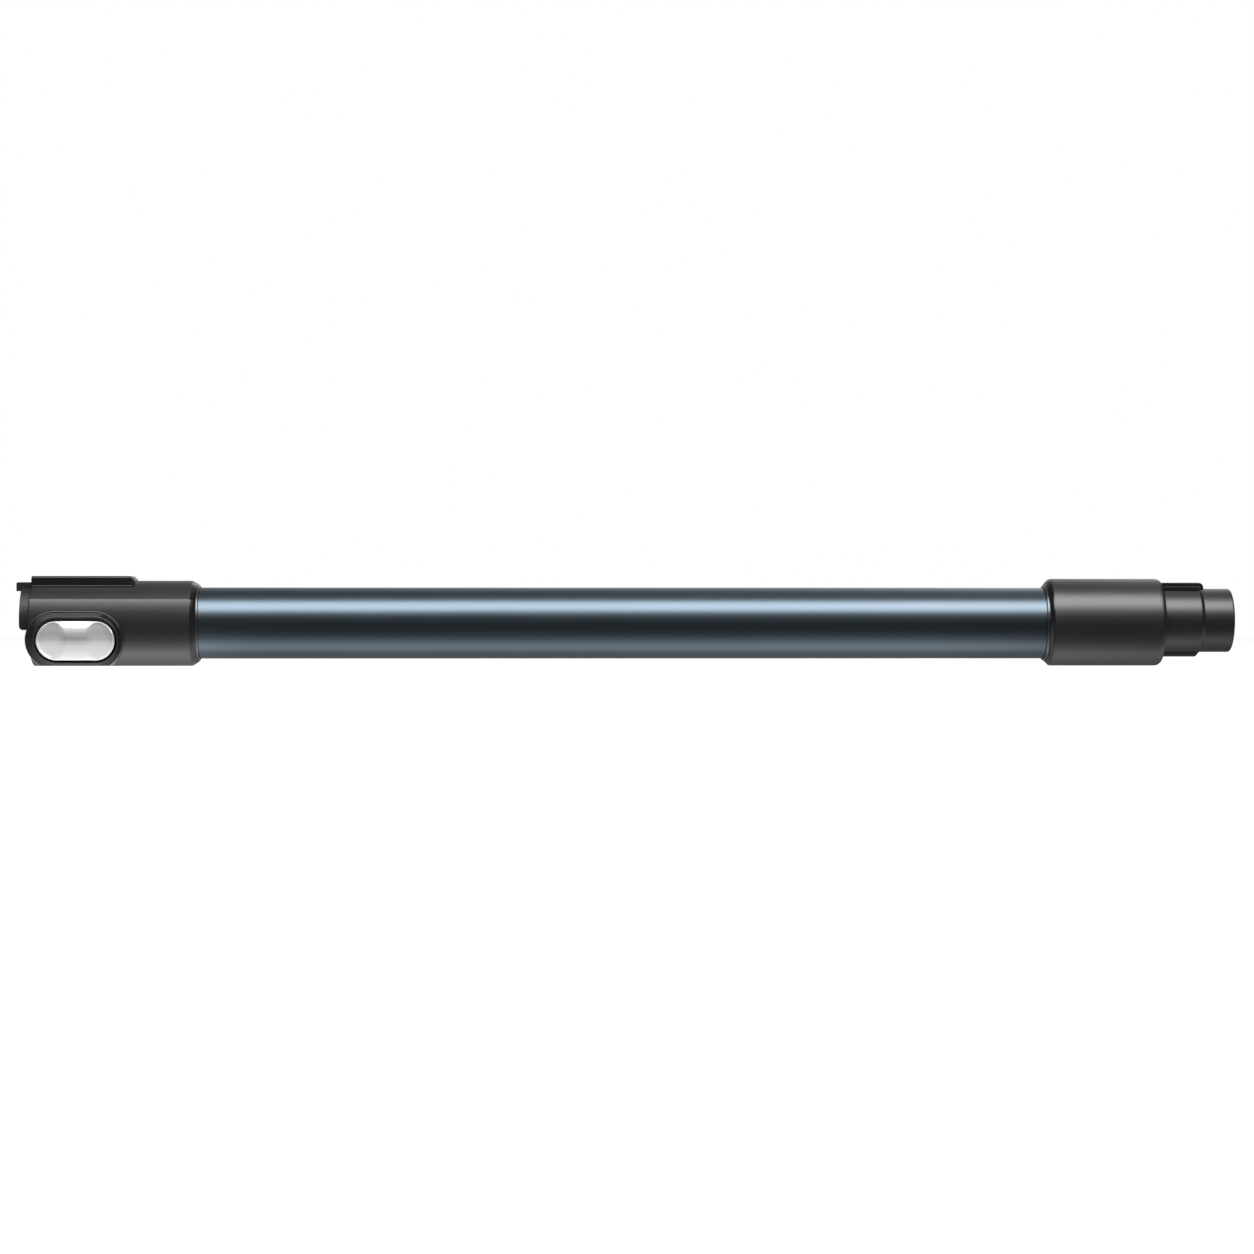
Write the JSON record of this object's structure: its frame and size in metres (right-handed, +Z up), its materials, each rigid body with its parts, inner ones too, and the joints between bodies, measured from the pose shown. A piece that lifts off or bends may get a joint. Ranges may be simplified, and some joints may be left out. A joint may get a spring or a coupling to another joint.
{
  "type": "vacuum extension wand",
  "caption": "Straight metal vacuum wand with a latching keyed socket at one end and a stepped spigot with an electrical plug at the other.",
  "frame": {"origin": "centre of the bounding box at its underside, on the surface that the wand lies on", "axes": "+X along the tube from the socket to the spigot, +Z up to the rail, -Y out of the side with the release button"},
  "size_m": [0.646, 0.0482, 0.0477],
  "materials": {
    "anodised_blue": "satin anodised, dark grey-blue",
    "satin_black": "satin moulded plastic",
    "gloss_black": "polished moulded plastic",
    "satin_silver": "satin silver coating on plastic",
    "spring_steel": "bright drawn wire",
    "brass": "bright contact metal",
    "soft_rubber": "matt",
    "wire_jacket": "smooth insulation"
  },
  "bodies": {
    "wand": {"tube": "anodised_blue", "wire_channel": "satin_black", "wire_front": "wire_jacket", "wire_back": "wire_jacket", "socket_trim_ring": "gloss_black", "socket_housing": "satin_black", "rail_cover": "gloss_black", "socket_sleeve": "satin_black", "nose_seal": "soft_rubber", "contact_carrier": "satin_black", "leaf_contact_front": "brass", "leaf_contact_back": "brass", "button_bezel": "satin_black", "lever_pin": "spring_steel", "nozzle_trim_ring": "gloss_black", "nozzle_collar": "satin_black", "nozzle_spigot": "satin_black", "spigot_seal": "soft_rubber", "keyed_plug": "gloss_black", "contact_strip_front": "brass", "contact_strip_back": "brass"},
    "release": {"release_button": "satin_silver", "latch_lever": "satin_black", "lever_spring": "spring_steel"}
  },
  "joints": [
    {"name": "release_press", "type": "hinge", "parent": "wand", "child": "release", "pos_m": [-0.29025, -0.01473, 0.00575], "axis": [-1, 0, 0], "range_deg": [0, 4], "stiffness_Nm_per_rad": 0.05, "springref_deg": -20.05, "deforming": ["lever_spring"]}
  ]
}
